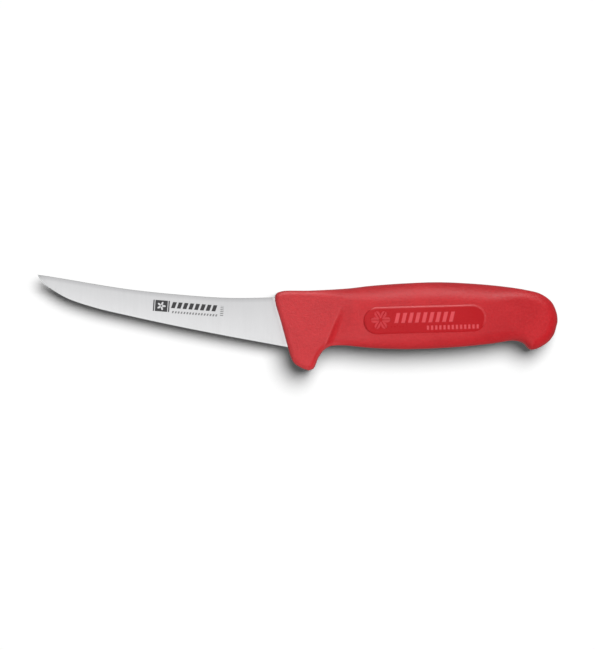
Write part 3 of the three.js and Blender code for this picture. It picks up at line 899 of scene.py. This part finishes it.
# ----------------------------------------------------------------------------------------------
# The table, the light and the camera. The knife lies on its side on a white table under a large
# soft box beyond its spine, and is seen from straight above.
# ----------------------------------------------------------------------------------------------

TABLE_HALF = 4.0  # metres
TABLE_SEEN = 1.13  # its colour for the camera: pure white wherever the light falls on it
TABLE_WHITE = 0.8  # its colour for all other light
TABLE_DROP = 0.02 * MM  # keeps the table's face clear of the knife's flat sides
table_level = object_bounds()[0].z - TABLE_DROP
table_mesh = bpy.data.meshes.new("table_top")
corners = [(-1, -1), (1, -1), (1, 1), (-1, 1)]
corners = [(x * TABLE_HALF, y * TABLE_HALF, table_level) for x, y in corners]
table_mesh.from_pydata(corners, [], [(0, 1, 2, 3)])
table = bpy.data.objects.new("table_top", table_mesh)
bpy.context.scene.collection.objects.link(table)
table.visible_glossy = False


def table_white():
    """A dull white table: what the camera sees of it is brighter than what it scatters."""
    material = bpy.data.materials.new("white_table")
    material.use_nodes = True
    tree = material.node_tree
    shader = tree.nodes["Principled BSDF"]
    shader.inputs["Roughness"].default_value = 0.9
    shader.inputs["Specular IOR Level"].default_value = 0.0
    seen = add(tree, "LightPath")["Is Camera Ray"]
    plain, exposed = ((tone, tone, tone, 1) for tone in (TABLE_WHITE, TABLE_SEEN))
    tree.links.new(blend(tree, seen, plain, exposed), shader.inputs["Base Color"])
    return material


table_mesh.materials.append(table_white())

# The room: a faint even glow, brighter where surfaces mirror it, and plain white behind all.
AMBIENT = 0.07
CEILING = 0.25
world = bpy.data.worlds.new("pale_room")
world.use_nodes = True
world.cycles.sampling_method = "NONE"
bpy.context.scene.world = world
room = world.node_tree
paths = add(room, "LightPath")
strength = mix_value(room, paths["Is Glossy Ray"], AMBIENT, CEILING)
seen = calc(room, "MAXIMUM", paths["Is Camera Ray"], paths["Is Transmission Ray"])
background = room.nodes["Background"]
background.inputs["Color"].default_value = (1, 1, 1, 1)
room.links.new(mix_value(room, seen, strength, 1.0), background.inputs["Strength"])

# Soft boxes, far enough away to light everything evenly: name, degrees above the table, degrees
# from the spine's side towards the butt, degrees across, and the share they give of the light on
# a surface that faces straight up. The key lights everything and throws the shadow; the fills
# reach the knife alone, along its belly and its back.
knife = bpy.data.collections.new("knife")
moulding = bpy.data.collections.new("moulding")
knife.objects.link(blade)
for piece in (handle, *panels):
    knife.objects.link(piece)
    moulding.objects.link(piece)
SOFT_BOXES = (
    ("key_soft_box", 64.5, 35, 39, 0.83, None),
    ("belly_fill_box", 22, 190, 40, 0.19, knife),
    ("back_fill_box", 15, 10, 30, 0.045, knife),
)
for name, up, turn, across, share, lit in SOFT_BOXES:
    lamp = bpy.data.lights.new(name, "SUN")
    lamp.angle = math.radians(across)
    lamp.energy = share * math.pi / math.sin(math.radians(up))
    box = bpy.data.objects.new(name, lamp)
    box.rotation_euler = (math.radians(up - 90), 0, math.radians(-turn))
    box.visible_glossy = False
    box.light_linking.receiver_collection = lit
    bpy.context.scene.collection.objects.link(box)

# Two more only show as a sheen: one along the rounding of the handle's back, and a near one over
# the blade and the guard.
SHEEN_UP, SHEEN_TURN, SHEEN_ACROSS = (math.radians(degrees) for degrees in (35, -8, 40))
BACK_RADIANCE = 4.8
lamp = bpy.data.lights.new("back_sheen_box", "SUN")
lamp.angle = SHEEN_ACROSS
lamp.energy = BACK_RADIANCE * math.pi * math.sin(SHEEN_ACROSS / 2) ** 2
box = bpy.data.objects.new("back_sheen_box", lamp)
box.rotation_euler = (SHEEN_UP - math.pi / 2, 0, -SHEEN_TURN)
box.visible_diffuse = False
box.light_linking.receiver_collection = moulding
bpy.context.scene.collection.objects.link(box)

SHEEN_AT = (-72, 0, 200)  # drawing millimetres
SHEEN_SIZE = (0.32, 0.34)  # metres
SHEEN_RADIANCE = 1.11
lamp = bpy.data.lights.new("near_sheen_box", "AREA")
lamp.shape = "RECTANGLE"
lamp.size, lamp.size_y = SHEEN_SIZE
lamp.energy = SHEEN_RADIANCE * math.pi * SHEEN_SIZE[0] * SHEEN_SIZE[1]
box = bpy.data.objects.new("near_sheen_box", lamp)
box.location = ORIGIN + np.array(SHEEN_AT) * MM
box.visible_camera = False
box.visible_diffuse = False
box.light_linking.receiver_collection = knife
bpy.context.scene.collection.objects.link(box)

# The knife is hidden from scattered light, so that its red doesn't tint the table.
for piece in (blade, handle, *panels):
    piece.visible_diffuse = False

# The camera, in drawing millimetres. The lens takes in the view's longer side, its height.
VIEW_MIDDLE = (11.5, -4.25)
VIEW_HEIGHT = 325.0
CAMERA_HEIGHT = 2000.0
view = bpy.data.cameras.new("camera")
view.lens = view.sensor_width * CAMERA_HEIGHT / VIEW_HEIGHT
view.clip_end = 20
camera = bpy.data.objects.new("camera", view)
camera.location = ORIGIN + np.array([*VIEW_MIDDLE, CAMERA_HEIGHT]) * MM
bpy.context.scene.collection.objects.link(camera)
bpy.context.scene.camera = camera
bpy.context.scene.view_settings.view_transform = "Standard"
